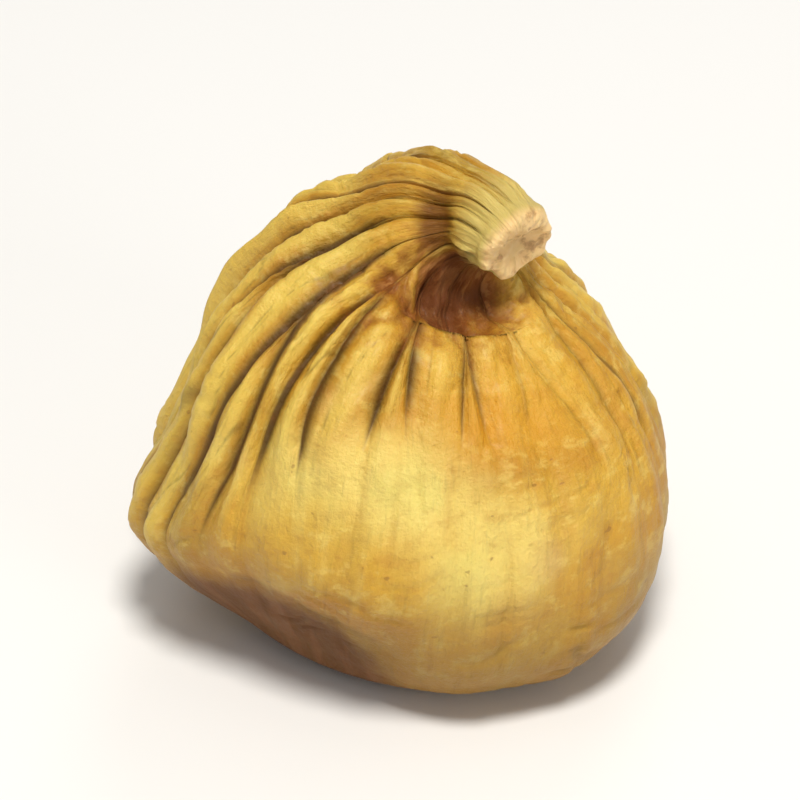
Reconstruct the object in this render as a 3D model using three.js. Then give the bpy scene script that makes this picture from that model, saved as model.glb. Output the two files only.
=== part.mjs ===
// A small dried fig, standing on its eye, with its pleated neck bent over and its stalk cut short.
// Millimetres, +Z up, the front at -Y. The origin lies on the ground under the middle of the fig.
import * as THREE from 'three';

// Driving dimensions, in millimetres and degrees.

// The fig's outline before it bends: [distance from its spine, height along the spine],
// from the middle of the eye, over the belly and up the neck, to the middle of the cut stalk.
const OUTLINE = [
  [0, 2.3], [0.45, 2.2], [0.62, 1.5], [0.85, 0.75], [1.5, 0.45], [2.3, 0.3],
  [3, 0], [3.9, 0], [4.8, 0],
  [8.2, 0.8], [10.8, 2.9], [11.8, 5.6], [12, 8.3], [11.1, 11.5], [9.9, 14.5], [7.7, 17.3], [5.2, 19.4],
  [3.9, 21], [2.8, 22.3], [2.4, 23.2], [2.25, 24], [2.05, 24.6],
  [2, 25], [1.8, 25.4], [1.2, 25.4], [0.6, 25.2], [0, 25.1],
];
// Places along the outline, counted in its points.
const EYE_WALL = 1;
const EYE_RIM = 6;
const FLAT_EDGE = 8;
const BELLY = 11;
const SHOULDER = 18;
const STALK_RIM = 22;
const STALK_FACE = 24;
const STALK_MIDDLE = OUTLINE.length - 1;

// The middle of the eye, from the origin.
const EYE_AT = [0.5, -0.45];
// The spine bends three times: how far, towards which side, and between which heights along it.
const BENDS = [
  { degrees: 8, towards: 91, from: 0, to: 12 },
  { degrees: 26, towards: -27, from: 9, to: 22 },
  { degrees: 97, towards: -62, from: 19.4, to: 26.3 },
];
const SPINE_LENGTH = 28;
const SPINE_STEP = 0.05;

// Low lobes round the body: how many, how deep as a share of the radius, and where the first one lies.
const LOBES = [
  { count: 2, depth: 0.028, at: 9 },
  { count: 3, depth: 0.02, at: 200 },
  { count: 5, depth: 0.012, at: 57 },
];
// They grow above the flat ring, and are gone again at the neck.
const LOBES_GROW = [0.2, 4];
const LOBES_END = [16, 20];
// Soft dents (less than nothing) and swellings: side and height of the middle, half widths, and depth.
const DENTS = [
  { side: 234, height: 3.4, wide: 34, high: 3.2, out: -2 },
  { side: 190, height: 6, wide: 18, high: 3, out: 1.1 },
  { side: 308, height: 3.4, wide: 34, high: 3, out: 1 },
  { side: 172, height: 13, wide: 38, high: 4, out: -0.9 },
  { side: 117, height: 18.4, wide: 55, high: 3.2, out: 1.15 },
  { side: 20, height: 17.5, wide: 40, high: 3.5, out: 0.4 },
  { side: 266, height: 21.1, wide: 42, high: 1.6, out: -1.7 },
  { side: 215, height: 22.6, wide: 55, high: 0.6, out: -0.3 },
];
const DENTS_GROW = [0, 1.5];

// Pleats run from the neck down the sides. Every second one starts lower, between two others.
const PLEATS = 33;
const PLEAT_SEED = 7;
const SHALLOWEST_PLEAT = 0.4;
const DEEPEST_PLEAT = 0.95;
// How far a ridge wanders from side to side, in radians, and how fast, in radians of its wave a millimetre.
const WANDER = 0.07;
const WANDER_RATE = 0.33;
// How unevenly the pleats are spaced, as a share of a pleat's width, and how much they crowd on one side.
const UNEVENNESS = 0.6;
const CROWDED_SIDE = 150;
const CROWDING = 0.3;
// The most that a pleat's ridge stands to one side of its middle.
const SKEW = 0.3;
// A late pleat narrows from its first height up to its last one. Each pair gives the lowest and the highest.
// Above that it is a narrow strip in the crease of its neighbours, and it is full once it is this wide.
const LATE_NARROWS = [12, 16.5];
const LATE_NARROWEST = [20.2, 22.2];
const NARROWEST = 0.16;
const FULL_WIDTH = 0.8;
// The body's plain outline runs this far up a pleat, from the crease at 0 to the ridge at 1.
const PLEAT_LEVEL = 0.72;
// The pleats end high on the front, where the belly is smooth, and soon run low on its left.
const SMOOTH_SIDE = 266;
const SMOOTH_LEFT = 38;
const SMOOTH_RIGHT = 96;
// The height where a pleat ends at most, how much lower it may end, and over what height it grows from there.
// Each pair is for the back and for the front.
const PLEAT_END = [5.5, 15.6];
const PLEAT_END_SPREAD = [4.5, 2.6];
const PLEAT_FADE = [6.5, 3.4];
// They are shallower round one side at the front, where the skin is drawn tight.
const TIGHT_SIDE = 318;
const TIGHT_WIDTH = 42;
const TIGHT_SHARE = 0.45;
// They are shallower on the neck too, and gone at the stalk.
const NECK = [19, 22.5];
const NECK_SHARE = 0.3;
const STALK = [24.1, 24.9];

// Scales that close the eye, between its opening and its rim.
const EYE_SCALES = 7;
const SCALE_RELIEF = 0.24;
const SCALE_LEVEL = 0.4;
const SCALES_GROW = [2, 3.6];
const SCALES_END = [5, EYE_RIM];

// Rings of points between two places along the outline: from, to, how many rings, and points on each pleat.
const RINGS = [
  { from: EYE_WALL, to: 2, count: 2, points: 1 },
  { from: 2, to: EYE_RIM, count: 7, points: 2 },
  { from: EYE_RIM, to: FLAT_EDGE, count: 2, points: 2 },
  { from: FLAT_EDGE, to: BELLY, count: 6, points: 2 },
  { from: BELLY, to: SHOULDER, count: 25, points: 4 },
  { from: SHOULDER, to: STALK_RIM, count: 10, points: 2 },
  { from: STALK_RIM, to: STALK_MIDDLE, count: 6, points: 1 },
];
const NUDGE = 1e-3;

const TAU = 2 * Math.PI;
const { clamp, degToRad, lerp, smoothstep } = THREE.MathUtils;
const smooth = ([low, high], x) => smoothstep(x, low, high);
const bell = (x) => Math.exp(-x * x);

// The shorter way round from one side to another, in radians.
function turn(side, from) {
  const around = (side - from + Math.PI) % TAU;
  return (around < 0 ? around + TAU : around) - Math.PI;
}

// Repeatable random numbers from 0 to 1.
function randomDraws(seed) {
  let state = seed;
  return () => {
    state = (state + 0x6d2b79f5) | 0;
    let t = Math.imul(state ^ (state >>> 15), 1 | state);
    t = (t + Math.imul(t ^ (t >>> 7), 61 | t)) ^ t;
    return ((t ^ (t >>> 14)) >>> 0) / 4294967296;
  };
}

// The outline as a smooth curve through its points: distance from the spine and height along it.
const outlineCurve = new THREE.SplineCurve(OUTLINE.map(([r, h]) => new THREE.Vector2(r, h)));

function outlineAt(place) {
  const { x, y } = outlineCurve.getPoint(clamp(place / STALK_MIDDLE, 0, 1));
  return { radius: Math.max(x, 0), height: Math.max(y, 0) };
}

// How far the spine leans at a height, as a vector towards the side that it leans to.
// Each bend is half even and half eased at its ends.
function leanAt(height) {
  let x = 0;
  let y = 0;
  for (const bend of BENDS) {
    const along = clamp((height - bend.from) / (bend.to - bend.from), 0, 1);
    const share = (along + smooth([0, 1], along)) / 2;
    x += degToRad(bend.degrees) * Math.cos(degToRad(bend.towards)) * share;
    y += degToRad(bend.degrees) * Math.sin(degToRad(bend.towards)) * share;
  }
  return { x, y, angle: Math.hypot(x, y) + Number.EPSILON };
}

// The spine, walked in small steps from the eye to past the end of the stalk.
const spine = [new THREE.Vector3(EYE_AT[0], EYE_AT[1], 0)];
while (spine.length * SPINE_STEP < SPINE_LENGTH) {
  const lean = leanAt((spine.length - 0.5) * SPINE_STEP);
  const sideways = (SPINE_STEP * Math.sin(lean.angle)) / lean.angle;
  const step = new THREE.Vector3(lean.x * sideways, lean.y * sideways, SPINE_STEP * Math.cos(lean.angle));
  spine.push(spine[spine.length - 1].clone().add(step));
}

function spineAt(height) {
  const k = Math.floor(height / SPINE_STEP);
  return spine[k].clone().lerp(spine[k + 1], height / SPINE_STEP - k);
}

// The fig's round section at each height stands square to the spine.
function bendPoint(radius, height, side) {
  const lean = leanAt(height);
  const axis = new THREE.Vector3(-lean.y / lean.angle, lean.x / lean.angle, 0);
  const out = new THREE.Vector3(radius * Math.cos(side), radius * Math.sin(side), 0);
  return spineAt(height).add(out.applyAxisAngle(axis, lean.angle));
}

function lobesAt(height, side) {
  const share = smooth(LOBES_GROW, height) * (1 - smooth(LOBES_END, height));
  let sum = 0;
  for (const lobe of LOBES) {
    sum += lobe.depth * Math.cos(lobe.count * (side - degToRad(lobe.at)));
  }
  return 1 + share * sum;
}

// The plain body, without pleats or dents.
function bodyPoint(place, side) {
  const { radius, height } = outlineAt(place);
  const round = place > FLAT_EDGE ? lobesAt(height, side) : 1;
  return bendPoint(radius * round, height, side);
}

const draw = randomDraws(PLEAT_SEED);
const pleats = [];
for (let i = 0; i < PLEATS; i += 1) {
  const even = (TAU * (i + UNEVENNESS * (draw() - 0.5))) / PLEATS;
  pleats.push({
    at: even - CROWDING * Math.sin(even - degToRad(CROWDED_SIDE)),
    late: i % 2 === 1,
    start: draw(),
    end: draw(),
    wave: draw(),
    depth: draw(),
    skew: SKEW * (2 * draw() - 1),
  });
}

// The creases between the pleats at a height, each one the left edge of its pleat, in radians.
// A late pleat narrows on its way up, and its two neighbours meet over it.
function creasesAt(height) {
  const ridges = pleats.map((pleat) => pleat.at + WANDER * Math.sin(WANDER_RATE * height + TAU * pleat.wave));
  const ridge = (k) => ridges[(k + PLEATS) % PLEATS] + TAU * Math.floor(k / PLEATS);
  const creases = pleats.map((_, k) => (ridge(k - 1) + ridge(k)) / 2);
  pleats.forEach((pleat, k) => {
    if (pleat.late) {
      const from = lerp(LATE_NARROWS[1], LATE_NARROWS[0], pleat.start);
      const to = lerp(LATE_NARROWEST[1], LATE_NARROWEST[0], pleat.start);
      const share = lerp(1, NARROWEST, smooth([from, to], height)) / 2;
      const middle = (creases[k] + creases[k + 1]) / 2;
      const width = creases[k + 1] - creases[k];
      creases[k] = middle - share * width;
      creases[k + 1] = middle + share * width;
    }
  });
  return creases;
}

// A pleat is round on top, with a sharp crease on each side. Across runs from 0 to 1 over its width.
function pleatRelief(pleat, width, height, side, across) {
  const grown = smooth([NARROWEST, FULL_WIDTH], (width * PLEATS) / TAU);
  const skewed = across + pleat.skew * across * (1 - across);
  const roundTop = 4 * skewed * (1 - skewed) * grown;
  const away = turn(side, degToRad(SMOOTH_SIDE));
  const frontness = bell(away / degToRad(away < 0 ? SMOOTH_LEFT : SMOOTH_RIGHT));
  const end = lerp(...PLEAT_END, frontness) - pleat.end * lerp(...PLEAT_END_SPREAD, frontness);
  const grows = [end, end + lerp(...PLEAT_FADE, frontness)];
  const onBody = smooth(grows, height) * lerp(1, NECK_SHARE, smooth(NECK, height));
  const offStalk = 1 - smooth(STALK, height);
  const tight = lerp(1, TIGHT_SHARE, bell(turn(side, degToRad(TIGHT_SIDE)) / degToRad(TIGHT_WIDTH)));
  const depth = tight * lerp(SHALLOWEST_PLEAT, DEEPEST_PLEAT, pleat.depth);
  return depth * onBody * offStalk * (roundTop - PLEAT_LEVEL);
}

function dentsAt(height, side) {
  let sum = 0;
  for (const dent of DENTS) {
    const across = turn(side, degToRad(dent.side)) / degToRad(dent.wide);
    sum += dent.out * bell(across) * bell((height - dent.height) / dent.high);
  }
  return sum * smooth(DENTS_GROW, height);
}

// Scales lie side by side round the eye.
function eyeRelief(place, side) {
  const shown = smooth(SCALES_GROW, place) * (1 - smooth(SCALES_END, place));
  return SCALE_RELIEF * shown * (Math.abs(Math.sin((EYE_SCALES * side) / 2)) - SCALE_LEVEL);
}

// The finished surface: the plain body, moved in or out along its own normal.
// The inside of the eye, the flat ring and the cut face stay plain.
function figPoint(place, creases, k, across) {
  const next = k + 1 < PLEATS ? creases[k + 1] : creases[0] + TAU;
  const side = lerp(creases[k], next, across);
  const point = bodyPoint(place, side);
  const isPlain = place <= EYE_WALL || (place >= EYE_RIM && place <= FLAT_EDGE) || place > STALK_FACE;
  if (isPlain) {
    return point;
  }
  const upward = bodyPoint(place + NUDGE, side).sub(bodyPoint(place - NUDGE, side));
  const around = bodyPoint(place, side + NUDGE).sub(bodyPoint(place, side - NUDGE));
  const normal = around.cross(upward).normalize();
  if (place < EYE_RIM) {
    return point.addScaledVector(normal, eyeRelief(place, side));
  }
  const { height } = outlineAt(place);
  const relief = pleatRelief(pleats[k], next - creases[k], height, side, across);
  return point.addScaledVector(normal, relief + dentsAt(height, side));
}

function figGeometry() {
  const positions = [];
  const faces = [];
  const addPoint = (point) => positions.push(point.x, point.y, point.z) / 3 - 1;

  // Joins two rings, which may have different numbers of points.
  const stitch = (lower, upper) => {
    let i = 0;
    let j = 0;
    while (i < lower.length || j < upper.length) {
      const a = lower[i % lower.length];
      const b = upper[j % upper.length];
      const lowerNext = (i + 1) / lower.length;
      const upperNext = (j + 1) / upper.length;
      if (j >= upper.length || (i < lower.length && lowerNext < upperNext)) {
        i += 1;
        faces.push(a, lower[i % lower.length], b);
      } else {
        j += 1;
        faces.push(a, upper[j % upper.length], b);
      }
    }
  };

  const rings = [];
  for (const { from, to, count, points } of RINGS) {
    for (let step = 0; step < count; step += 1) {
      const place = lerp(from, to, step / count);
      const creases = creasesAt(outlineAt(place).height);
      const ring = [];
      for (let k = 0; k < PLEATS; k += 1) {
        for (let i = 0; i < points; i += 1) {
          ring.push(addPoint(figPoint(place, creases, k, i / points)));
        }
      }
      rings.push(ring);
    }
  }
  for (let i = 1; i < rings.length; i += 1) {
    stitch(rings[i - 1], rings[i]);
  }
  const eye = addPoint(bodyPoint(0, 0));
  const stalk = addPoint(bodyPoint(STALK_MIDDLE, 0));
  const first = rings[0];
  const last = rings[rings.length - 1];
  first.forEach((point, i) => faces.push(eye, first[(i + 1) % first.length], point));
  last.forEach((point, i) => faces.push(point, last[(i + 1) % last.length], stalk));

  const geometry = new THREE.BufferGeometry();
  geometry.setAttribute('position', new THREE.Float32BufferAttribute(positions, 3));
  geometry.setIndex(faces);
  geometry.computeVertexNormals();
  return geometry;
}

const skin = new THREE.MeshStandardMaterial({ color: '#d3ac55', roughness: 0.52, metalness: 0 });
const fig = new THREE.Mesh(figGeometry(), skin);
fig.name = 'fig';

const part = new THREE.Group();
part.add(fig);
export default part;
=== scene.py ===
# %% [markdown]
# # A small dried fig
#
# The fig is one grown piece of fruit skin, about 25 mm across, that has shrunk round its pulp.
# The belly stays round and smooth. Towards the stalk the skin has too much width for the thin
# neck, so it gathers into pleats, like the cloth of a drawn purse. The neck has gone limp and bent
# over, and the stalk is cut short. Under the belly is the eye, a small pit closed by scales.
#
# This lesson makes the fig's fine surface by formula, gives it a material made of nodes, and
# lights it like a product photograph. First comes the packed model, which fixes size and place.

# %% Load the packed model
import math

import bpy
import numpy as np
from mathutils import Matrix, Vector, noise


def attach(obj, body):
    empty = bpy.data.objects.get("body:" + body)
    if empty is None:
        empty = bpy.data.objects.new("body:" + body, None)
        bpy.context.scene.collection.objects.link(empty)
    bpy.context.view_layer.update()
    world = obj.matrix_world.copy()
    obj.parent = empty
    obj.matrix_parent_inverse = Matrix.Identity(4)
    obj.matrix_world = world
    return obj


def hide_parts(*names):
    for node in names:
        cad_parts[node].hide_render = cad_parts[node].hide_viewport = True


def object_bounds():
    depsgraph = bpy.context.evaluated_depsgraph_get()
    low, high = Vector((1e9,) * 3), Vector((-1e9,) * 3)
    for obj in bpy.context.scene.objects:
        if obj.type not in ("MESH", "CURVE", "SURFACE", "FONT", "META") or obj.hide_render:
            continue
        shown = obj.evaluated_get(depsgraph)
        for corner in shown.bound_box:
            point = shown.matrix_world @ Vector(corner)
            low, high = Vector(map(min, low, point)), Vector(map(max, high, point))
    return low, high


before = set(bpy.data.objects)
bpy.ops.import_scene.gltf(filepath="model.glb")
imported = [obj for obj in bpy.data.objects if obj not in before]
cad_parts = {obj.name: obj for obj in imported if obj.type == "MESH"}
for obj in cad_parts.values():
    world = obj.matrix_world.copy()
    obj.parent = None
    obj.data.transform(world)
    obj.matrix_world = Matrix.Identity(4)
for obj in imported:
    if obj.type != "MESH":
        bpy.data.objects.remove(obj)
cad_low, cad_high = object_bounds()
print("packed fig, in mm:", [round(1000 * (b - a), 2) for a, b in zip(cad_low, cad_high)])

# %% [markdown]
# ## The form, before it bends
#
# A fig is nearly a solid of revolution: one outline, turned round an axis. A sculpted mesh could
# give the same form, but a formula keeps the sizes readable, and it can be sampled as finely as
# the picture needs. The outline runs from the middle of the eye, over the belly and up the neck,
# to the middle of the cut stalk. Its points are the same as in the solid that the frame holds, in
# millimetres: distance from the spine, and height along it.

# %% The outline and its smooth curve
OUTLINE = np.array([
    (0, 2.3), (0.45, 2.2), (0.62, 1.5), (0.85, 0.75), (1.5, 0.45), (2.3, 0.3),
    (3, 0), (3.9, 0), (4.8, 0),
    (8.2, 0.8), (10.8, 2.9), (11.8, 5.6), (12, 8.3), (11.1, 11.5), (9.9, 14.5), (7.7, 17.3), (5.2, 19.4),
    (3.9, 21), (2.8, 22.3), (2.4, 23.2), (2.25, 24), (2.05, 24.6),
    (2, 25), (1.8, 25.4), (1.2, 25.4), (0.6, 25.2), (0, 25.1),
])
EYE_RIM, FLAT_EDGE, SHOULDER, STALK_RIM = 6, 8, 18, 22
STALK_MIDDLE = len(OUTLINE) - 1


def outline_at(place):
    """Distance from the spine and height along it, at a place counted in the outline's points."""
    place = np.clip(place, 0, STALK_MIDDLE)
    i = np.minimum(np.floor(place).astype(int), STALK_MIDDLE - 1)
    w = (place - i)[..., None]
    before, here = OUTLINE[np.maximum(i - 1, 0)], OUTLINE[i]
    after, further = OUTLINE[i + 1], OUTLINE[np.minimum(i + 2, STALK_MIDDLE)]
    slope_here, slope_after = (after - before) / 2, (further - here) / 2
    cubic = 2 * here - 2 * after + slope_here + slope_after
    square = -3 * here + 3 * after - 2 * slope_here - slope_after
    point = np.maximum(cubic * w**3 + square * w**2 + slope_here * w + here, 0)
    return point[..., 0], point[..., 1]


print("outline:", len(OUTLINE), "points, widest", OUTLINE[:, 0].max(), "mm from the spine")

# %% [markdown]
# ## The spine
#
# The bent neck is what makes this fig look alive. A Curve modifier could bend a straight mesh, but
# it twists where the curve turns in space. Here each round section is turned straight from upright
# to the lean of the spine at its height, so the pleats follow the bend without any twist. The spine
# is walked in small steps, each one in the direction that it leans to.

# %% The lean of the spine
BENDS = [
    {"degrees": 8, "towards": 91, "from": 0, "to": 12},
    {"degrees": 26, "towards": -27, "from": 9, "to": 22},
    {"degrees": 97, "towards": -62, "from": 19.4, "to": 26.3},
]
TINY = 1e-9


def smooth(low, high, x):
    """From 0 at low to 1 at high, with soft ends."""
    t = np.clip((x - low) / (high - low), 0, 1)
    return t * t * (3 - 2 * t)


def lean_at(height):
    """The side that the spine leans to, as x and y, and how far, in radians."""
    x, y = 0, 0
    for bend in BENDS:
        along = np.clip((height - bend["from"]) / (bend["to"] - bend["from"]), 0, 1)
        share = (along + smooth(0, 1, along)) / 2
        x = x + math.radians(bend["degrees"]) * math.cos(math.radians(bend["towards"])) * share
        y = y + math.radians(bend["degrees"]) * math.sin(math.radians(bend["towards"])) * share
    angle = np.hypot(x, y) + TINY
    return x / angle, y / angle, angle


stalk_lean = lean_at(OUTLINE[-1, 1])[2]
print("the stalk leans", round(math.degrees(stalk_lean)), "degrees from upright")

# %% The bent spine
EYE_AT = (0.5, -0.45)
SPINE_STEP = 0.05
SPINE_LENGTH = 28

SPINE_HEIGHTS = np.arange(0, SPINE_LENGTH, SPINE_STEP)
to_x, to_y, lean = lean_at(SPINE_HEIGHTS + SPINE_STEP / 2)
spine_steps = SPINE_STEP * np.stack([np.sin(lean) * to_x, np.sin(lean) * to_y, np.cos(lean)], axis=-1)
SPINE = np.vstack([np.zeros(3), np.cumsum(spine_steps, axis=0)[:-1]]) + np.array([*EYE_AT, 0])


def bend_point(radius, height, side):
    """A point at this distance and side of the spine, on the section that leans with it."""
    x, y, angle = lean_at(height)
    shorter, lower = np.cos(angle) - 1, np.sin(angle)
    right = np.stack([1 + shorter * x * x, shorter * x * y, -lower * x], axis=-1)
    forward = np.stack([shorter * x * y, 1 + shorter * y * y, -lower * y], axis=-1)
    middle = np.stack([np.interp(height, SPINE_HEIGHTS, SPINE[:, k]) for k in range(3)], axis=-1)
    across = np.cos(side)[..., None] * right + np.sin(side)[..., None] * forward
    return middle + radius[..., None] * across


print("spine:", len(SPINE), "steps, its end at, in mm:", SPINE[-1].round(1))

# %% [markdown]
# ## Lobes, dents and the plain body
#
# No fruit is round. Two, three and five low waves round the body make it uneven in a way that has
# no visible pattern, and a few soft dents and swellings sit where the skin has sunk or stays full.
# Noise could make it uneven too, but would not put each dent where this fruit has it. The big dent
# at the lower left front is where the fig dried against another surface.

# %% The plain body
TAU = 2 * math.pi
LOBES = [(2, 0.028, 9), (3, 0.02, 200), (5, 0.012, 57)]
LOBES_GROW, LOBES_END, DENTS_GROW = (0.2, 4), (16, 20), (0, 1.5)
DENTS = [
    {"side": 234, "height": 3.4, "wide": 34, "high": 3.2, "out": -2},
    {"side": 190, "height": 6, "wide": 18, "high": 3, "out": 1.1},
    {"side": 308, "height": 3.4, "wide": 34, "high": 3, "out": 1},
    {"side": 172, "height": 13, "wide": 38, "high": 4, "out": -0.9},
    {"side": 117, "height": 18.4, "wide": 55, "high": 3.2, "out": 1.15},
    {"side": 20, "height": 17.5, "wide": 40, "high": 3.5, "out": 0.4},
    {"side": 266, "height": 21.1, "wide": 42, "high": 1.6, "out": -1.7},
    {"side": 215, "height": 22.6, "wide": 55, "high": 0.6, "out": -0.3},
]


def bell(x):
    """1 at nought, falling softly to 0 on both sides."""
    return np.exp(-x * x)


def turn(side, degrees):
    """The shorter way round from a side given in degrees, in radians."""
    return (side - math.radians(degrees) + math.pi) % TAU - math.pi


def area_at(side, height, area):
    """1 in the middle of an area on the skin, falling softly to 0 round it."""
    across = turn(side, area["side"]) / math.radians(area["wide"])
    return bell(across) * bell((height - area["height"]) / area["high"])


def plain_point(place, side):
    radius, height = outline_at(place)
    waves = sum(depth * np.cos(count * (side - math.radians(at))) for count, depth, at in LOBES)
    share = smooth(*LOBES_GROW, height) * (1 - smooth(*LOBES_END, height)) * (place > FLAT_EDGE)
    return bend_point(radius * (1 + share * waves), height, side)


def dents_at(height, side):
    out = sum(dent["out"] * area_at(side, height, dent) for dent in DENTS)
    return out * smooth(*DENTS_GROW, height)


print("lobes:", len(LOBES), "and dents:", len(DENTS))

# %% [markdown]
# ## The pleats
#
# The pleats carry the look. A bump texture would leave the outline round, so they are real relief.
# Each pleat is a strip between two creases, round on top. Every second one is late: it fades into
# the crease between its neighbours on the way up, so the neck has half as many pleats as the body
# has. Below their ends the pleats run on over the belly as faint ribs. The mesh has its columns of
# points laid out by pleat, from crease to crease, so a crease is always a row of edges and stays
# sharp. The uneven spacing and depth come from seeded draws.

# %% Draws for the pleats
PLEATS = 33
PLEAT_SEED = 7
DRAWS_EACH = 6
UNEVENNESS = 0.6
CROWDED_SIDE, CROWDING = math.radians(150), 0.3
WORD = 0xFFFFFFFF


def random_draws(seed):
    """Repeatable random numbers from 0 to 1, the same as the solid's own."""
    state = seed
    while True:
        state = (state + 0x6D2B79F5) & WORD
        t = ((state ^ (state >> 15)) * (state | 1)) & WORD
        t ^= (t + ((t ^ (t >> 7)) * (t | 61) & WORD)) & WORD
        yield ((t ^ (t >> 14)) & WORD) / 2**32


draws = random_draws(PLEAT_SEED)
rows = [[next(draws) for _ in range(DRAWS_EACH)] for _ in range(PLEATS)]
pleat_draw, pleat_start, pleat_end, pleat_wave, pleat_deep, pleat_skew = np.array(rows).T
even = TAU * (np.arange(PLEATS) + UNEVENNESS * (pleat_draw - 0.5)) / PLEATS
pleat_at = even - CROWDING * np.sin(even - CROWDED_SIDE)
LATE = np.arange(1, PLEATS, 2)
print("pleats:", PLEATS, "of which", len(LATE), "end at the neck")

# %% The creases between the pleats
WANDER, WANDER_RATE = 0.07, 0.33
LATE_NARROWS, LATE_NARROWEST = (12, 16.5), (20.2, 22.2)
NARROWEST = 0.16


def lerp(low, high, share):
    return low + (high - low) * share


def creases_at(height):
    """The creases at one height: each pleat's left edge, and one more to close the round."""
    ridges = pleat_at + WANDER * np.sin(WANDER_RATE * height + TAU * pleat_wave)
    before = np.roll(ridges, 1)
    before[0] -= TAU
    creases = (before + ridges) / 2
    creases = np.append(creases, creases[0] + TAU)
    starts = lerp(*LATE_NARROWS[::-1], pleat_start[LATE])
    ends = lerp(*LATE_NARROWEST[::-1], pleat_start[LATE])
    share = lerp(1, NARROWEST, smooth(starts, ends, height)) / 2
    middle, width = (creases[LATE] + creases[LATE + 1]) / 2, creases[LATE + 1] - creases[LATE]
    creases[LATE], creases[LATE + 1] = middle - share * width, middle + share * width
    creases[-1] = creases[0] + TAU
    return creases


print("widest gap between creases, in degrees:", round(math.degrees(np.diff(creases_at(0)).max()), 1))

# %% The relief of a pleat
SHALLOWEST_PLEAT, DEEPEST_PLEAT = 0.4, 0.95
PLEAT_LEVEL, SHARPNESS = 0.72, 0.55
SKEW, FULL_WIDTH = 0.3, 0.8
SMOOTH_SIDE, SMOOTH_LEFT, SMOOTH_RIGHT = 266, 38, 96
PLEAT_END, PLEAT_END_SPREAD, PLEAT_FADE = (5.5, 15.6), (4.5, 2.6), (6.5, 3.4)
TIGHT_SIDE, TIGHT_WIDTH, TIGHT_SHARE = 318, 42, 0.45
NECK, NECK_SHARE, STALK = (19, 22.5), 0.3, (24.1, 24.9)
RIBS, RIB_SHARE = (1.5, 9), 0.28


def pleat_shown(k, height, side):
    """How much of its depth a pleat has here: none under the fig, less on the thin neck."""
    away = turn(side, SMOOTH_SIDE)
    frontness = bell(away / np.radians(np.where(away < 0, SMOOTH_LEFT, SMOOTH_RIGHT)))
    end = lerp(*PLEAT_END, frontness) - pleat_end[k] * lerp(*PLEAT_END_SPREAD, frontness)
    grown = smooth(end, end + lerp(*PLEAT_FADE, frontness), height)
    tight = lerp(1, TIGHT_SHARE, bell(turn(side, TIGHT_SIDE) / math.radians(TIGHT_WIDTH)))
    on_body = tight * grown * lerp(1, NECK_SHARE, smooth(*NECK, height))
    on_belly = RIB_SHARE * smooth(*RIBS, height)
    return np.maximum(on_body, on_belly) * (1 - smooth(*STALK, height))


def round_top_at(k, width, across):
    """The section of a pleat: 0 in its creases and 1 on its ridge."""
    skewed = across + SKEW * (2 * pleat_skew[k] - 1) * across * (1 - across)
    return 4 * skewed * (1 - skewed) * smooth(NARROWEST, FULL_WIDTH, width * PLEATS / TAU)


def pleat_relief(k, shown, round_top):
    deep = lerp(SHALLOWEST_PLEAT, DEEPEST_PLEAT, pleat_deep[k])
    crest = lerp(round_top, round_top**2, SHARPNESS)
    return deep * shown * (crest - PLEAT_LEVEL)


print("pleats stand", SHALLOWEST_PLEAT, "to", DEEPEST_PLEAT, "mm above their creases")

# %% [markdown]
# ## The skin laid out flat
#
# Wrinkles and streaks of colour must follow the pleats, round the bend and into the neck. Noise on
# plain coordinates would run straight on where the neck bends. So every point gets a second place,
# on a straight roll of skin of even width: round it by the pleat that it is on, and up it by the
# length of skin from the eye. Noise that is drawn out along this roll turns into lines that run
# with the pleats and gather with them at the neck.

# %% Places on the roll of skin
ROLL_RADIUS = 10
STEPS_A_PLACE = 20
PLACES = np.linspace(0, STALK_MIDDLE, STEPS_A_PLACE * STALK_MIDDLE + 1)
outline_steps = np.hypot(*np.diff(np.array(outline_at(PLACES))))
SKIN_LENGTHS = np.append(0, np.cumsum(outline_steps))


def roll_point(k, across, place):
    around = TAU * (k + across) / PLEATS
    along = np.interp(place, PLACES, SKIN_LENGTHS)
    return np.stack([ROLL_RADIUS * np.cos(around), ROLL_RADIUS * np.sin(around), along], axis=-1)


print("skin from eye to stalk:", round(SKIN_LENGTHS[-1], 1), "mm")

# %% [markdown]
# ## Fine wrinkles
#
# Dried skin is never smooth between its pleats. Small pleats and thin grooves run with them, the
# ridges have low knuckles where the skin folded across, and short cross folds lie where the neck is
# pressed together. The belly, which is stretched over the pulp, has low lumps, a net of shallow
# furrows and, low down, a few lines that run round it. A bump map could shade all this, but real
# relief also shows along the outline and casts its own shadows. The noise is Blender's own and
# gives the same numbers each time. A groove is a line where the noise is nought.

# %% Noise and grooves
def noise_field(points, size, seed):
    """Smooth noise from about -1 to 1, at points in mm, with features of this size in x, y and z."""
    flat = (points / np.array(size) + seed).reshape(-1, 3)
    values = np.array([noise.noise(Vector(p)) for p in flat.tolist()])
    return values.reshape(points.shape[:-1])


def rough_field(points, coarse, fine):
    """Coarse bumps with fine ones of half their height on them, each from a size and a seed."""
    return noise_field(points, *coarse) + noise_field(points, *fine) / 2


def grooves(field, width):
    """1 along the lines where the noise is nought, falling to 0 on both sides."""
    return smooth(width, 0, np.abs(field))


print("one value of the noise:", noise_field(np.ones((1, 3)), 3, 0).round(3))

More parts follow.
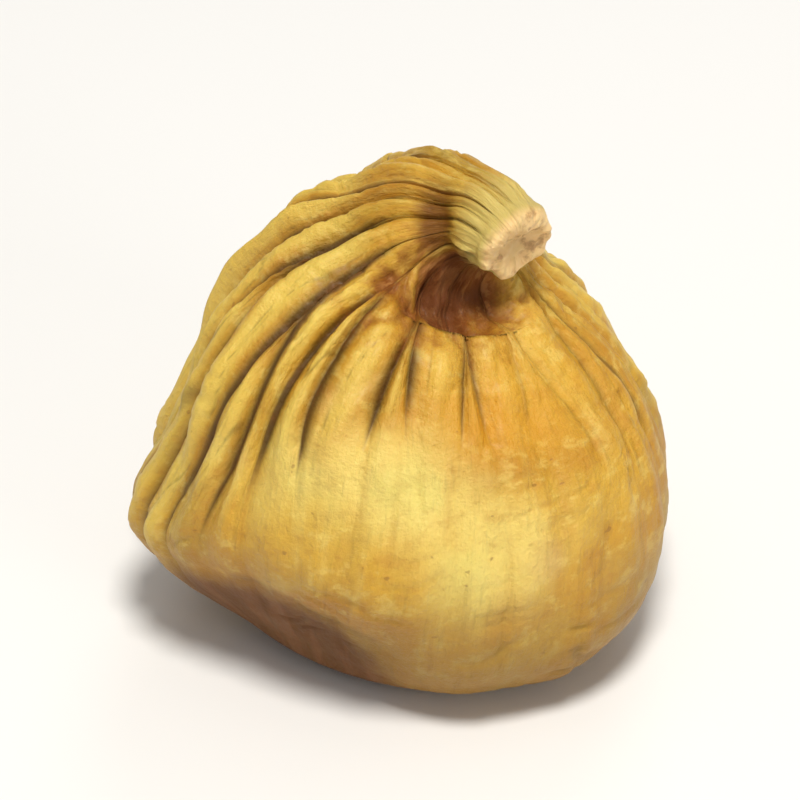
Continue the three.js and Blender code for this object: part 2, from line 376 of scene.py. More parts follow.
# %% Kinds of wrinkle
WRINKLES = {
    "lumps": {"size": (3.6, 3.6, 4.5), "seed": 4.7},
    "flutes": {"size": (2.2, 2.2, 14), "seed": 8.8},
    "streaks": {"size": (0.8, 0.8, 7), "seed": 0},
    "fine": {"size": (0.4, 0.4, 2.5), "seed": 11.3},
    "knuckles": {"size": (1.1, 1.1, 1.7), "seed": 7.9},
    "small_pleats": {"size": (1.1, 1.1, 8), "seed": 5.3},
    "furrows": {"size": (1.5, 1.5, 6), "seed": 6.2},
    "folds": {"size": (2.8, 2.8, 1.5), "seed": 12.6},
    "low_lines": {"size": (5, 5, 1.1), "seed": 14.2},
    "cross_folds": {"size": (2.6, 2.6, 1.2), "seed": 9.4},
}
LINE_WIDTHS = {"small_pleats": 0.08, "furrows": 0.18, "folds": 0.14, "low_lines": 0.16, "cross_folds": 0.15}
print("kinds of wrinkle:", ", ".join(WRINKLES))

# %% Relief of the wrinkles, and painted shade on their lines
FURROWS_ON, FOLDS_ON, LOW_LINES_ON = (-0.3, 0.3), (0, 0.4), (-0.2, 0.4)
UPPER, LOW_LINES_END, CROSS_FOLDS_START, SKIN_START = (4, 12), (10, 5), (13, 19), (0.3, 2.5)
HEIGHTS = {"lumps": 0.3, "flutes": 0.22, "streaks": 0.06, "fine": 0.035}
HEIGHTS_ON_PLEATS = {"streaks": 0.08, "fine": 0.04}
SMALL_PLEAT_HEIGHT, SMALL_PLEAT_LEVEL, KNUCKLE_HEIGHT = 0.55, 0.2, 0.24
NET_DEPTH, FOLD_SHARE, CREASE_DEPTH, LOW_LINE_DEPTH, CROSS_FOLD_DEPTH = 0.14, 0.7, 0.05, 0.16, 0.1
# How much painted shade goes on the lines: of the net, of the low lines and of the small creases.
NET_SHADE, LOW_LINES_SHADE, UPPER_SHADE = 0.5, 0.9, 0.15


def wrinkles_at(roll, height, round_top, shown):
    """Fine relief in mm over the whole skin, and how much painted shade goes on its lines, from 0 to 1."""
    field = {name: noise_field(roll, **settings) for name, settings in WRINKLES.items()}
    line = {name: grooves(field[name], width) for name, width in LINE_WIDTHS.items()}
    furrows = line["furrows"] * smooth(*FURROWS_ON, field["flutes"])
    net = np.maximum(furrows, FOLD_SHARE * line["folds"] * smooth(*FOLDS_ON, field["lumps"]))
    low_lines = line["low_lines"] * smooth(*LOW_LINES_ON, field["flutes"]) * smooth(*LOW_LINES_END, height)
    creases, upper = line["small_pleats"], smooth(*UPPER, height)
    relief = sum(high * field[name] for name, high in HEIGHTS.items())
    relief -= NET_DEPTH * net + CREASE_DEPTH * creases * upper + LOW_LINE_DEPTH * low_lines
    on_pleats = sum(high * field[name] for name, high in HEIGHTS_ON_PLEATS.items())
    on_pleats += SMALL_PLEAT_HEIGHT * (np.abs(field["small_pleats"]) - SMALL_PLEAT_LEVEL)
    on_pleats += KNUCKLE_HEIGHT * round_top * field["knuckles"]
    on_pleats -= CROSS_FOLD_DEPTH * line["cross_folds"] * smooth(*CROSS_FOLDS_START, height)
    # Painted shade on the grooves of the wrinkles.
    line_shade = creases * lerp(shown, upper, UPPER_SHADE)
    line_shade = np.maximum(line_shade, np.maximum(NET_SHADE * net, LOW_LINES_SHADE * low_lines))
    on_skin = smooth(*SKIN_START, height) * (1 - smooth(*STALK, height))
    return (relief + shown * on_pleats) * on_skin, line_shade * on_skin


print("deepest lines, in mm:", max(NET_DEPTH, CREASE_DEPTH, LOW_LINE_DEPTH, CROSS_FOLD_DEPTH))

# %% [markdown]
# ## The eye, the hollow and the cut stalk
#
# The eye is a pit closed by small scales, laid side by side round its opening. The hollow is where
# the bent neck has pulled the skin in under the stalk: a small deep dent, rough inside. The stalk
# was cut, and its end has dried: a rough face with a ragged rim. At the lower left the fig dried
# flat against something, and a low fold runs along the upper edge of that flattened face. Booleans
# could cut such places out, but they leave crowded edges. Here each one is a height that is added
# to the same surface, so the skin runs on through it.

# %% Relief of the eye and the hollow
EYE_SCALES, SCALE_RELIEF, SCALE_LEVEL = 7, 0.28, 0.4
SCALES_GROW, SCALES_END = (2, 3.6), (5, EYE_RIM)
EYE_GRAIN, EYE_GRAIN_HEIGHT = {"size": (1.5, 1.5, 0.4), "seed": 2.2}, 0.05
HOLLOW_MIDDLE = np.array([2.2, -2.5, 19.2])
HOLLOW_RADII = np.array([3.3, 2.4, 2.2])
HOLLOW_DEPTH, HOLLOW_SINKS = 0.5, (0.1, 0.95)
HOLLOW_ROUGH, HOLLOW_GRAIN = 0.45, {"coarse": (0.9, 6.6), "fine": (0.4, 1.9)}
HOLLOW_RAGGED, HOLLOW_RAGS = 0.5, {"coarse": (1.3, 3.7), "fine": (0.6, 9.1)}
RAGGED_FROM = (0.3, 0.8)


def eye_relief(place, side, roll):
    shown = smooth(*SCALES_GROW, place) * (1 - smooth(*SCALES_END, place))
    scales = np.abs(np.sin(EYE_SCALES * side / 2)) - SCALE_LEVEL
    return shown * (SCALE_RELIEF * scales + EYE_GRAIN_HEIGHT * noise_field(roll, **EYE_GRAIN))


def hollow_at(point):
    """1 in the middle of the hollow, falling to 0 round it, with a ragged edge."""
    away = np.linalg.norm((point - HOLLOW_MIDDLE) / HOLLOW_RADII, axis=-1)
    ragged = rough_field(point, **HOLLOW_RAGS) * smooth(*RAGGED_FROM, away)
    return bell(away + HOLLOW_RAGGED * ragged)


def hollow_relief(point, hollow):
    rough = rough_field(point, **HOLLOW_GRAIN)
    return smooth(*HOLLOW_SINKS, hollow) * (HOLLOW_ROUGH * rough - HOLLOW_DEPTH)


print("hollow at, in mm:", HOLLOW_MIDDLE)

# %% Relief of the flattened face, the collar and the cut end
FACET_MIDDLE, FACET_LEFT, FACET_RIGHT = 222, (-34, -14), (22, 60)
FACET_TOP, FACET_DROP = 6.3, 4.2
FACET_FOLD, FOLD_BELOW, FOLD_WIDTH = 0.1, 0.3, 0.45
COLLAR_AREA, COLLAR_DEPTH = {"side": 196, "height": 22.4, "wide": 52, "high": 0.65}, 0.45
CUT_STARTS, CUT_CALMS = (STALK_RIM - 1, STALK_RIM + 0.6), (STALK_MIDDLE - 0.4, STALK_MIDDLE)
CUT_ROUGH, CUT_GRAIN = 0.28, {"coarse": (1.1, 5.5), "fine": (0.35, 8.1)}


def facet_below(side, height):
    """How far a point lies below the flattened face's upper edge, in mm, and 1 within its width."""
    across = turn(side, FACET_MIDDLE)
    edge = FACET_TOP - FACET_DROP * across**2
    within = smooth(*np.radians(FACET_LEFT), across) * (1 - smooth(*np.radians(FACET_RIGHT), across))
    return edge - height, within


def facet_edge_at(side, height):
    """1 on the low fold along the upper edge of the flattened face."""
    below, within = facet_below(side, height)
    return bell((below - FOLD_BELOW) / FOLD_WIDTH) * within


def collar_at(side, height):
    """1 in the crease where the stalk leaves the neck, on its upper left."""
    return area_at(side, height, COLLAR_AREA)


def cut_relief(place, point):
    on_cut = smooth(*CUT_STARTS, place) * (1 - smooth(*CUT_CALMS, place))
    return CUT_ROUGH * on_cut * rough_field(point, **CUT_GRAIN)


print("the flattened face reaches", FACET_TOP, "mm up")

# %% [markdown]
# ## From rings to a mesh
#
# The surface is laid out in close rings, from the eye to the stalk. The wide belly and shoulder
# get fifteen columns for each pleat, and the eye and the neck, which are narrow, get fewer. Where
# two rings have different counts they are stitched like a zip: at each step the ring that is
# behind moves on by one point. That keeps the mesh closed without any crowded triangles. A Remesh
# modifier would close it too, but it would blur the creases.

# %% One ring of points
NUDGE = 1e-3
HOLLOW_CALM, CALM_SPAN = 0.55, (0.04, 0.5)
LINE_SHADE_SHARE = 0.55


def outward_at(place, side):
    """The direction straight out of the plain body."""
    upward = plain_point(place + NUDGE, side) - plain_point(place - NUDGE, side)
    around = plain_point(place, side + NUDGE) - plain_point(place, side - NUDGE)
    normal = np.cross(around, upward)
    return normal / np.linalg.norm(normal, axis=-1, keepdims=True)


def ring_points(at, columns):
    """One ring: its points in mm, and what the material wants to know about each of them."""
    creases = creases_at(outline_at(np.array(at))[1])
    k = np.repeat(np.arange(PLEATS), columns)
    across = np.tile(np.arange(columns) / columns, PLEATS)
    width = creases[k + 1] - creases[k]
    side = creases[k] + across * width
    place = np.full_like(side, at)
    height = outline_at(place)[1]
    body = plain_point(place, side)
    roll = roll_point(k, across, place)
    hollow = hollow_at(body)
    round_top = round_top_at(k, width, across)
    shown = pleat_shown(k, height, side) * (1 - HOLLOW_CALM * smooth(*CALM_SPAN, hollow))
    # Painted shade goes in the creases between the pleats, and on the grooves of the wrinkles.
    crease_shade = (1 - round_top) * shown
    out = np.zeros_like(side)
    if at < EYE_RIM:
        out = eye_relief(place, side, roll)
    elif at > FLAT_EDGE:
        wrinkles, lines = wrinkles_at(roll, height, round_top, shown)
        crease_shade = np.maximum(crease_shade, LINE_SHADE_SHARE * lines)
        out = pleat_relief(k, shown, round_top) + dents_at(height, side) + wrinkles
        out += cut_relief(place, body) + hollow_relief(body, hollow)
        out -= FACET_FOLD * facet_edge_at(side, height)
        out -= COLLAR_DEPTH * collar_at(side, height) * (at < STALK_RIM)
    return {
        "point": body + out[:, None] * outward_at(place, side), "roll": roll, "crease_shade": crease_shade,
        # The tops of the pleats get a painted highlight.
        "ridge": round_top * shown, "hollow": hollow, "place": place, "side": side, "height": height,
    }


print("points in a ring round the neck, at eight to a pleat:", len(ring_points(SHOULDER, 8)["side"]))

# %% All rings
RINGS = [
    {"from": 0.5, "to": 3, "count": 16, "columns": 3},
    {"from": 3, "to": EYE_RIM, "count": 24, "columns": 6},
    {"from": EYE_RIM, "to": FLAT_EDGE, "count": 6, "columns": 6},
    {"from": FLAT_EDGE, "to": FLAT_EDGE + 1, "count": 14, "columns": 7},
    {"from": FLAT_EDGE + 1, "to": SHOULDER, "count": 150, "columns": 15},
    {"from": SHOULDER, "to": STALK_RIM, "count": 30, "columns": 8},
    {"from": STALK_RIM, "to": STALK_MIDDLE, "count": 20, "columns": 5},
]
rings, numbers, start = [], [], 0
for span in RINGS:
    for at in np.linspace(span["from"], span["to"], span["count"], endpoint=False):
        ring = ring_points(at, span["columns"])
        rings.append(ring)
        numbers.append(list(range(start, start + len(ring["point"]))))
        start += len(ring["point"])
tips = plain_point(np.array([0.0, float(STALK_MIDDLE)]), np.zeros(2))
points = np.vstack([ring["point"] for ring in rings] + [tips])
print("rings:", len(rings), "with", len(points), "points in all")

# %% Stitch the rings into a closed mesh
MM = 0.001


def stitch(lower, upper):
    """Triangles between two rings of point numbers."""
    faces, i, j = [], 0, 0
    while i < len(lower) or j < len(upper):
        a, b = lower[i % len(lower)], upper[j % len(upper)]
        behind = (i + 1) / len(lower) < (j + 1) / len(upper)
        if j >= len(upper) or (i < len(lower) and behind):
            i += 1
            faces.append((a, lower[i % len(lower)], b))
        else:
            j += 1
            faces.append((a, upper[j % len(upper)], b))
    return faces


faces = [face for lower, upper in zip(numbers, numbers[1:]) for face in stitch(lower, upper)]
eye_tip, stalk_tip = len(points) - 2, len(points) - 1
first, last = numbers[0], numbers[-1]
faces += [(eye_tip, first[(i + 1) % len(first)], p) for i, p in enumerate(first)]
faces += [(p, last[(i + 1) % len(last)], stalk_tip) for i, p in enumerate(last)]

fig_mesh = bpy.data.meshes.new("fig_skin")
fig_mesh.from_pydata((points * MM).tolist(), [], faces)
fig_mesh.validate()
fig_mesh.shade_smooth()
fig = bpy.data.objects.new("fig_skin", fig_mesh)
bpy.context.collection.objects.link(fig)
print("fig surface:", len(points), "points,", len(faces), "triangles")

# %% [markdown]
# ## What the material needs to know
#
# Colour on this fig follows its form: the creases are painted darker, as painted shade, and the
# ridges paler, as a painted highlight. A material can find sharp places by itself, but what it
# finds changes with the density of the mesh. This mesh was made from its creases, so where they
# are is stored on the points as attributes, and the material reads them by name. It also gets each
# point's place on the roll of skin, so that streaks in the colour run up the neck and bend with it.

# %% Where the special colours lie
# The first four, on the front of the belly, are painted highlights where the light falls most; the three on
# the back are paler patches of skin.
PALE_AREAS_AND_HIGHLIGHTS = [
    {"side": 262, "height": 13, "wide": 26, "high": 3, "share": 1},
    {"side": 292, "height": 8.6, "wide": 24, "high": 3.6, "share": 0.8},
    {"side": 229, "height": 11.5, "wide": 12, "high": 3.4, "share": 0.35},
    {"side": 240, "height": 6.8, "wide": 10, "high": 1, "share": 0.4},
    {"side": 74, "height": 9.5, "wide": 26, "high": 3, "share": 0.6},
    {"side": 140, "height": 7.5, "wide": 16, "high": 2.4, "share": 0.45},
    {"side": 20, "height": 10, "wide": 14, "high": 2.5, "share": 0.4},
]
AMBER_AREA = {"side": 294, "height": 16, "wide": 30, "high": 1.9}
BODY_START, BOTTOM_SHADE_END, STALK_START = (FLAT_EDGE, FLAT_EDGE + 0.7), (0.5, 10.5), (22.6, 24.4)
CUT_START, EYE_END, PIT_SHADE_END = (STALK_RIM - 0.2, STALK_RIM + 0.9), (EYE_RIM - 1, FLAT_EDGE + 0.5), (1.2, 3)
FACET_SHADE_START = (-1, 2.6)


def gather(name, tip_values):
    """One value for every point of the mesh: those of the rings, then those of the two tips."""
    return np.concatenate([ring[name] for ring in rings] + [np.array(tip_values)])


place_of, side_of = gather("place", [0, STALK_MIDDLE]), gather("side", [0, 0])
height_of = gather("height", OUTLINE[[0, -1], 1])
on_body = smooth(*BODY_START, place_of)
pale = sum(area["share"] * area_at(side_of, height_of, area) for area in PALE_AREAS_AND_HIGHLIGHTS)
facet_depth, facet_within = facet_below(side_of, height_of)
print("pale areas:", len(PALE_AREAS_AND_HIGHLIGHTS), "and points to colour:", len(pale))

# %% Store the form on the points
form = {
    "roll": gather("roll", [(0, 0, 0), (0, 0, SKIN_LENGTHS[-1])]),
    "spot": points,
    # Where painted shade goes, in the creases and on the grooves of the wrinkles.
    "crease_shade": gather("crease_shade", [0, 0]),
    # The tops of the pleats, where a painted highlight goes.
    "ridge": gather("ridge", [0, 0]),
    "hollow": gather("hollow", [0, 0]),
    # Painted highlights on the front of the belly, and paler patches on its back.
    "pale": np.minimum(pale, 1) * on_body,
    # Painted shade: the fig is painted darker towards the bottom, where less light falls.
    "low": 1 - smooth(*BOTTOM_SHADE_END, height_of),
    "stalk": smooth(*STALK_START, height_of) * (place_of > SHOULDER),
    "cut": smooth(*CUT_START, place_of),
    "collar": collar_at(side_of, height_of) * (place_of < STALK_RIM),
    "eye": 1 - smooth(*EYE_END, place_of),
    # Painted shade in the opening of the eye.
    "pit": 1 - smooth(*PIT_SHADE_END, place_of),
    # Painted shade on the flattened face at the lower left, which turns down, and in the fold along its upper
    # edge.
    "facet_shade": smooth(*FACET_SHADE_START, facet_depth) * facet_within * on_body,
    "facet_fold_shade": facet_edge_at(side_of, height_of) * on_body,
    "amber": area_at(side_of, height_of, AMBER_AREA),
}
for name, values in form.items():
    kind, field = ("FLOAT", "value") if values.ndim == 1 else ("FLOAT_VECTOR", "vector")
    attribute = fig_mesh.attributes.new(name, kind, "POINT")
    attribute.data.foreach_set(field, values.astype(np.float32).ravel())
print("attributes:", ", ".join(form))

# %% [markdown]
# ## Shader maths as Python
#
# A material is a net of nodes. Written by hand, each sum costs four lines, so a small class wraps
# one output socket and turns Python's operators into Math nodes. Any other node comes from the one
# method `node`: its type, its settings, and the values or links of its sockets.

# %% A wrapped socket
class Wire:
    """An output socket of a node. Sums and products on it add Math nodes."""

    def __init__(self, tree, socket=None):
        self.tree = tree
        self.socket = socket

    def node(self, kind, settings, inputs, output=0):
        made = self.tree.nodes.new(kind)
        for name, value in settings.items():
            setattr(made, name, value)
        for name, value in inputs.items():
            if isinstance(value, Wire):
                self.tree.links.new(value.socket, made.inputs[name])
            else:
                made.inputs[name].default_value = value
        return Wire(self.tree, made.outputs[output])

    def maths(self, operation, first, second):
        return self.node("ShaderNodeMath", {"operation": operation}, {0: first, 1: second})

    def __add__(self, other):
        return self.maths("ADD", self, other)

    def __radd__(self, other):
        return self.maths("ADD", other, self)

    def __sub__(self, other):
        return self.maths("SUBTRACT", self, other)

    def __rsub__(self, other):
        return self.maths("SUBTRACT", other, self)

    def __mul__(self, other):
        return self.maths("MULTIPLY", self, other)

    def __rmul__(self, other):
        return self.maths("MULTIPLY", other, self)


print("methods of a wire:", ", ".join(name for name in vars(Wire) if "__" not in name))

# %% Colours, spans, noise and values from the mesh
def linear(code):
    """A colour written as six hex digits, as the shader wants it."""
    values = [int(code[i:i + 2], 16) / 255 for i in (0, 2, 4)]
    return [v / 12.92 if v < 0.04045 else ((v + 0.055) / 1.055) ** 2.4 for v in values] + [1.0]


def mix(amount, first, second):
    """A colour between two colours, by an amount that is a wire."""
    settings = {"data_type": "RGBA", "blend_type": "MIX"}
    return amount.node("ShaderNodeMix", settings, {0: amount, 6: first, 7: second}, output=2)


def between(low, high, value):
    """From 0 at low to 1 at high, with soft ends."""
    settings = {"interpolation_type": "SMOOTHSTEP", "clamp": True}
    return value.node("ShaderNodeMapRange", settings, {"Value": value, "From Min": low, "From Max": high})


def noise_texture(vector, scale, detail, roughness=0.5, stretch=1):
    """Noise over a vector in mm: scale is features per mm, and a stretch under 1 draws them out in z."""
    moved = vector.node("ShaderNodeMapping", {}, {"Vector": vector, "Scale": (1, 1, stretch)})
    inputs = {"Vector": moved, "Scale": scale, "Detail": detail, "Roughness": roughness}
    return vector.node("ShaderNodeTexNoise", {"noise_dimensions": "3D"}, inputs, output="Fac")


def mesh_value(tree, name, output="Fac"):
    """A value that is stored on the points of the mesh."""
    return Wire(tree).node("ShaderNodeAttribute", {"attribute_name": name}, {}, output)


print("middle grey for the shader:", round(linear("808080")[0], 3))

# %% [markdown]
# ## The skin
#
# The skin of a dried fig is leathery and slightly waxy, straw yellow where it is stretched. The
# creases are painted a deep olive, and the bottom and the flattened face are painted darker, all
# as painted shade; the hollow is partly painted shade. The ridges and the front of the belly are
# painted paler, as painted highlights. Light goes a little way into the skin, which subsurface
# scattering gives. One painted image could hold all this, but layers made by formula stay sharp
# from close by. The colour is built from the broad to the fine: patches, the pale belly with its
# painted highlights, streaks along the fruit, the painted shade of the creases, specks, and then
# the special places, such as the hollow, the stalk and the eye. Each layer names its colour, how
# much of it shows, the mask or noise that says where, and the span of that mask over which it
# comes in. A span that runs downwards brings the layer in where the value is low. Some layers are
# broken up by noise, or lie within another mask.

# %% Colours of the fig
COLOURS = {
    # The colour for the bottom of the fig is painted shade.
    "straw": "d5a534", "ochre": "b97e1a", "olive": "a88e2c", "cream": "efd573", "bottom_shade": "80560f",
    # The colour of the creases is painted shade, and the colour of the ridges is a painted highlight.
    "ridge": "ecce60", "crease": "523604", "amber": "dc9c1e", "pink": "ecc090", "lime": "e2da78",
    # The colours of the flattened face and of its fold are painted shade.
    "facet_shade": "5e3006", "facet_pink": "96603a", "facet_fold_shade": "42200a",
    # The colour round the hollow and the deepest colour in it are painted shade; the hollow's own colour is
    # partly painted shade.
    "hollow_rim_shade": "a4660e", "hollow": "864a06", "hollow_deep_shade": "5e2c00", "hollow_spot": "ba8040",
    "stalk": "d8c470", "collar": "7c4a02", "cut": "ffd694", "cut_heart": "a8703a",
    # The colour of the eye's opening is painted shade.
    "eye": "8a5626", "pit": "2e160b", "speck": "7d4f22",
}
print("colours:", len(COLOURS))

# %% Masks and noises of the skin
MASKS = [
    "crease_shade", "ridge", "pale", "low", "amber", "facet_shade", "facet_fold_shade", "hollow", "stalk", "collar",
    "eye", "pit",
]
NOISES = {
    "patches": {"scale": 0.13, "detail": 2},
    "olive": {"scale": 0.2, "detail": 2, "stretch": 0.6},
    "clouds": {"scale": 0.32, "detail": 3},
    "mottle": {"scale": 1.1, "detail": 5, "roughness": 0.65},
    "streaks": {"scale": 1.1, "detail": 4, "roughness": 0.55, "stretch": 0.1},
    "hairlines": {"scale": 3.6, "detail": 3, "roughness": 0.6, "stretch": 0.1},
    "specks": {"scale": 2.2, "detail": 1},
    "pores": {"scale": 5, "detail": 4, "roughness": 0.6},
    "leather": {"scale": 2.4, "detail": 5, "roughness": 0.7, "stretch": 0.5},
}
NOISE_MIDDLE = 0.5
FACET_SHADE_BROKEN, FACET_SHADE_SPAN = {"clouds": 0.5, "mottle": 0.3}, (0.2, 0.9)
HEART_SPAN, CREASES_IN_HOLLOW = (0.4, 0.7), 0.3
MOTTLE_SHARE, LESS_ON_PALE = 0.45, 0.2


def broken(mask, fields, noises):
    """A mask whose edge is broken up by noises, each by its share."""
    for name, share in noises.items():
        mask = mask + share * (fields[name] - NOISE_MIDDLE)
    return mask


def skin_fields(tree):
    """Every mask and noise that the layers of the skin are made with, by name."""
    roll = mesh_value(tree, "roll", "Vector")
    fields = {name: mesh_value(tree, name) for name in MASKS}
    for name, settings in NOISES.items():
        fields[name] = noise_texture(roll, **settings)
    fields["mottle_share"] = MOTTLE_SHARE - LESS_ON_PALE * fields["pale"]
    # Painted shade on the flattened face, its edge broken up by noise.
    fields["facet_shade_patchy"] = between(*FACET_SHADE_SPAN, broken(fields["facet_shade"], fields, FACET_SHADE_BROKEN))
    fields["hollow_heart"] = between(*HEART_SPAN, fields["hollow"])
    fields["hollow_creased"] = fields["hollow"] + CREASES_IN_HOLLOW * fields["crease_shade"]
    return fields


print("masks and noises:", len(MASKS), "and", len(NOISES))

# %% Layers of colour
LAYERS = [
    {"colour": "ochre", "share": 0.8, "where": "patches", "span": (0.42, 0.68)},
    {"colour": "olive", "share": 0.5, "where": "olive", "span": (0.5, 0.68)},
    # Painted highlights on the front of the belly, and paler patches on its back.
    {
        "colour": "cream", "share": 0.85, "where": "pale", "span": (0.25, 0.9),
        "broken": {"clouds": 0.5, "mottle": 0.25},
    },
    {"colour": "cream", "share": 0.35, "where": "streaks", "span": (0.5, 0.75)},
    {"colour": "ochre", "share": 0.35, "where": "streaks", "span": (0.5, 0.3)},
    {"colour": "ochre", "share": 1, "where": "mottle", "span": (0.5, 0.66), "within": "mottle_share"},
    {"colour": "cream", "share": 0.4, "where": "mottle", "span": (0.48, 0.34)},
    # Painted shade: darker towards the bottom of the fig.
    {"colour": "bottom_shade", "share": 0.72, "where": "low", "span": (0, 0.95), "broken": {"clouds": 0.3}},
    # Painted highlight: the tops of the pleats are painted paler.
    {"colour": "ridge", "share": 0.65, "where": "ridge", "span": (0.6, 1)},
    {"colour": "amber", "share": 0.7, "where": "amber"},
    {"colour": "pink", "share": 0.45, "where": "olive", "span": (0.53, 0.64), "within": "pale"},
    {"colour": "lime", "share": 0.35, "where": "olive", "span": (0.47, 0.38), "within": "pale"},
    # Painted shade in the creases and on the grooves of the wrinkles.
    {"colour": "crease", "share": 0.95, "where": "crease_shade", "span": (0.25, 0.9)},
    {"colour": "crease", "share": 0.14, "where": "hairlines", "span": (0.54, 0.7)},
    {"colour": "speck", "share": 0.4, "where": "specks", "span": (0.75, 0.79)},
    # Painted shade on the flattened face, which turns down, with pinkish streaks in it, and more painted
    # shade along its fold.
    {"colour": "facet_shade", "share": 0.8, "where": "facet_shade_patchy"},
    {"colour": "facet_pink", "share": 0.3, "where": "streaks", "span": (0.5, 0.62), "within": "facet_shade_patchy"},
    {"colour": "facet_fold_shade", "share": 0.4, "where": "clouds", "span": (0.42, 0.6), "within": "facet_fold_shade"},
    # Painted shade, spreading softly round the hollow.
    {
        "colour": "hollow_rim_shade", "share": 0.5, "where": "hollow", "span": (0.06, 0.55),
        "broken": {"clouds": 0.5, "mottle": 0.3},
    },
    # The hollow is painted a deep reddish colour: partly the colour of the dried skin there, partly painted
    # shade; it reaches out along the painted shade of the creases.
    {
        "colour": "hollow", "share": 1, "where": "hollow_creased", "span": (0.2, 0.72),
        "broken": {"mottle": 0.6},
    },
    {"colour": "hollow_spot", "share": 0.7, "where": "mottle", "span": (0.5, 0.6), "within": "hollow_heart"},
    # Painted shade, deepest in the middle of the hollow.
    {"colour": "hollow_deep_shade", "share": 0.8, "where": "hollow", "span": (0.55, 0.95)},
    {"colour": "stalk", "share": 0.75, "where": "stalk"},
    {"colour": "collar", "share": 0.95, "where": "collar", "span": (0.15, 0.85), "broken": {"mottle": 0.4}},
    {"colour": "eye", "share": 0.7, "where": "mottle", "span": (0.35, 0.6), "within": "eye"},
    # Painted shade: the opening in the middle of the eye is painted almost black.
    {"colour": "pit", "share": 1, "where": "pit"},
]
print("layers of colour:", len(LAYERS))

# %% From layers to the colour of the skin
CUT_NOISE = {"scale": 1.1, "detail": 4, "roughness": 0.6}
CUT_HEART_SHARE, CUT_HEART_SPAN = 0.65, (0.5, 0.66)


def layer_amount(fields, layer):
    """How much of a layer shows at each point."""
    amount = broken(fields[layer["where"]], fields, layer.get("broken", {}))
    if "span" in layer:
        amount = between(*layer["span"], amount)
    if "within" in layer:
        amount = amount * fields[layer["within"]]
    return layer["share"] * amount


def skin_colour(fields):
    colour = linear(COLOURS["straw"])
    for layer in LAYERS:
        colour = mix(layer_amount(fields, layer), colour, linear(COLOURS[layer["colour"]]))
    return colour


def cut_colour(tree):
    """The cut end of the stalk: pale, with browner spots where it dried unevenly."""
    grain = noise_texture(mesh_value(tree, "spot", "Vector"), **CUT_NOISE)
    heart = CUT_HEART_SHARE * between(*CUT_HEART_SPAN, grain)
    return mix(heart, linear(COLOURS["cut"]), linear(COLOURS["cut_heart"]))


print("layers that lie within another mask:", sum("within" in layer for layer in LAYERS))

# %% Put the skin together
ROUGHNESS = 0.38
ROUGHER = {"mottle": 0.14, "pale": -0.04, "crease_shade": 0.2, "hollow": 0.35, "facet_shade": 0.2}
BUMPS = {"pores": 0.4, "hairlines": 0.5, "leather": 1}
BUMP = {"Distance": 0.00025, "Strength": 0.7}
SHADER_VALUES = {
    "Subsurface Weight": 0.12, "Subsurface Radius": (1.0, 0.5, 0.2), "Subsurface Scale": 0.0007,
    "Specular IOR Level": 0.4, "Coat Weight": 0.08, "Coat Roughness": 0.3,
}


def make_skin():
    material = bpy.data.materials.new("fig_skin")
    material.use_nodes = True
    tree = material.node_tree
    shader = tree.nodes["Principled BSDF"]
    fields = skin_fields(tree)
    height = sum(share * fields[name] for name, share in BUMPS.items())
    wires = {
        "Base Color": mix(mesh_value(tree, "cut"), skin_colour(fields), cut_colour(tree)),
        "Roughness": sum((share * fields[name] for name, share in ROUGHER.items()), ROUGHNESS),
        "Normal": height.node("ShaderNodeBump", {}, {"Height": height, **BUMP}, "Normal"),
    }
    for name, wire in wires.items():
        tree.links.new(wire.socket, shader.inputs[name])
    for name, value in SHADER_VALUES.items():
        shader.inputs[name].default_value = value
    return material


fig_mesh.materials.append(make_skin())
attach(fig, "root")
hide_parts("fig")
print("skin nodes:", len(fig_mesh.materials[0].node_tree.nodes))

# %% [markdown]
# ## The studio
#
# The fig lies on a plain pale floor under soft light. The main light hangs high, a little towards
# the camera, so that each pleat shades the crease beside it. A weaker one from the right front
# opens the shadows, one from behind lights the far shoulder, and a pale world fills the rest. A
# single sun would be simpler, but its hard shadows would cut across the fine wrinkles.

# %% Floor
FLOOR_REACH = 1.5
FLOOR_COLOUR, FLOOR_ROUGHNESS = (0.86, 0.855, 0.84, 1), 0.7


def make_floor():
    mesh = bpy.data.meshes.new("floor")
    corners = [(x * FLOOR_REACH, y * FLOOR_REACH, 0) for x, y in ((-1, -1), (1, -1), (1, 1), (-1, 1))]
    mesh.from_pydata(corners, [], [(0, 1, 2, 3)])
    floor = bpy.data.objects.new("floor", mesh)
    bpy.context.collection.objects.link(floor)
    material = bpy.data.materials.new("pale_floor")
    material.use_nodes = True
    shader = material.node_tree.nodes["Principled BSDF"]
    shader.inputs["Base Color"].default_value = FLOOR_COLOUR
    shader.inputs["Roughness"].default_value = FLOOR_ROUGHNESS
    mesh.materials.append(material)


make_floor()
print("floor:", 2 * FLOOR_REACH, "m across")

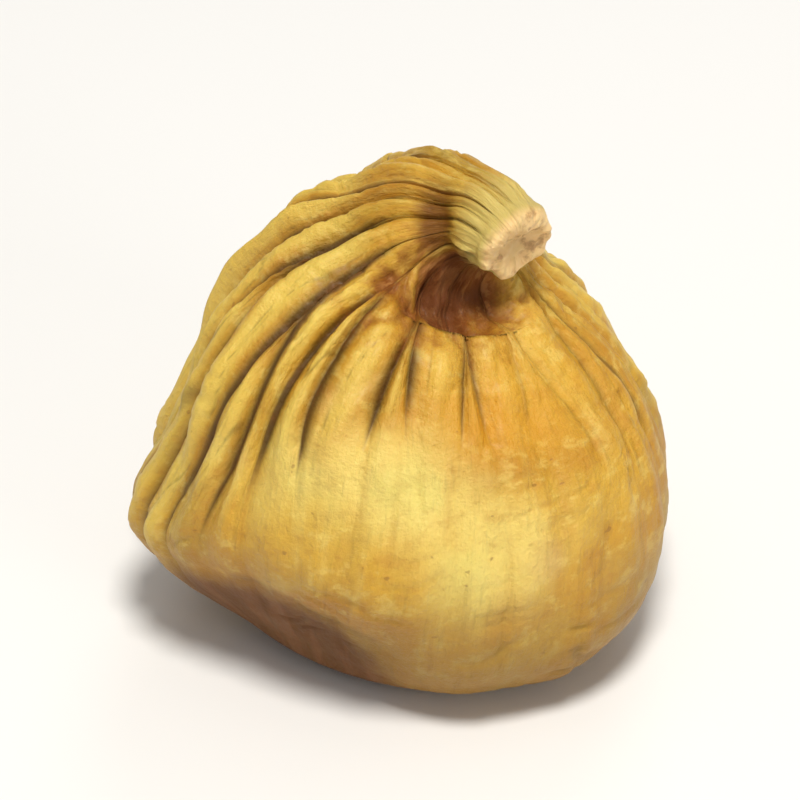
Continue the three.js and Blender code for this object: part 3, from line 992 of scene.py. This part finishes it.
# %% Lights and world
FIG_MIDDLE = Vector((0, 0, 0.0115))
LIGHTS = [
    {"name": "key", "place": (0.02, -0.14, 0.42), "size": 0.12, "watts": 1.7, "colour": (1, 0.97, 0.92)},
    {"name": "fill", "place": (0.3, -0.34, 0.2), "size": 0.2, "watts": 0.3, "colour": (1, 0.98, 0.95)},
    {"name": "back", "place": (0.1, 0.4, 0.3), "size": 0.25, "watts": 0.35, "colour": (1, 0.99, 0.96)},
]
WORLD_STRENGTH = 0.3


def make_light(name, place, size, watts, colour):
    data = bpy.data.lights.new(name, "AREA")
    data.shape, data.size, data.energy, data.color = "DISK", size, watts, colour
    light = bpy.data.objects.new(name, data)
    light.location = place
    light.rotation_euler = (FIG_MIDDLE - Vector(place)).to_track_quat("-Z", "Y").to_euler()
    bpy.context.collection.objects.link(light)


for light in LIGHTS:
    make_light(**light)

world = bpy.data.worlds.new("studio")
world.use_nodes = True
world.node_tree.nodes["Background"].inputs["Color"].default_value = (1, 1, 1, 1)
world.node_tree.nodes["Background"].inputs["Strength"].default_value = WORLD_STRENGTH
bpy.context.scene.world = world
bpy.context.scene.view_settings.view_transform = "Standard"
print("lights:", len(LIGHTS), "with", round(sum(light["watts"] for light in LIGHTS), 2), "watts in all")

# %% [markdown]
# ## The camera
#
# The camera looks down at 35.5 degrees, as in the photograph, from far away for so small a fruit
# and with a long lens, so it is seen almost without perspective. The lens could be set by eye, but
# here it is worked out from the share of the frame's width that the packed fig is to fill.

# %% Camera
CAMERA_ELEVATION = math.radians(35.5)
CAMERA_DISTANCE = 0.284
FRAME_SHARE = 0.68
SENSOR = 36.0
CLIP_START, CLIP_END = 0.01, 10

camera_data = bpy.data.cameras.new("camera")
camera = bpy.data.objects.new("camera", camera_data)
bpy.context.collection.objects.link(camera)
back = Vector((0, -math.cos(CAMERA_ELEVATION), math.sin(CAMERA_ELEVATION)))
camera.location = FIG_MIDDLE + CAMERA_DISTANCE * back
camera.rotation_euler = (-back).to_track_quat("-Z", "Y").to_euler()
breadth = cad_high[0] - cad_low[0]
camera_data.sensor_width = SENSOR
camera_data.lens = SENSOR * CAMERA_DISTANCE * FRAME_SHARE / breadth
camera_data.clip_start, camera_data.clip_end = CLIP_START, CLIP_END
bpy.context.scene.camera = camera
print("lens:", round(camera_data.lens), "mm at", CAMERA_DISTANCE, "m")

# %% [markdown]
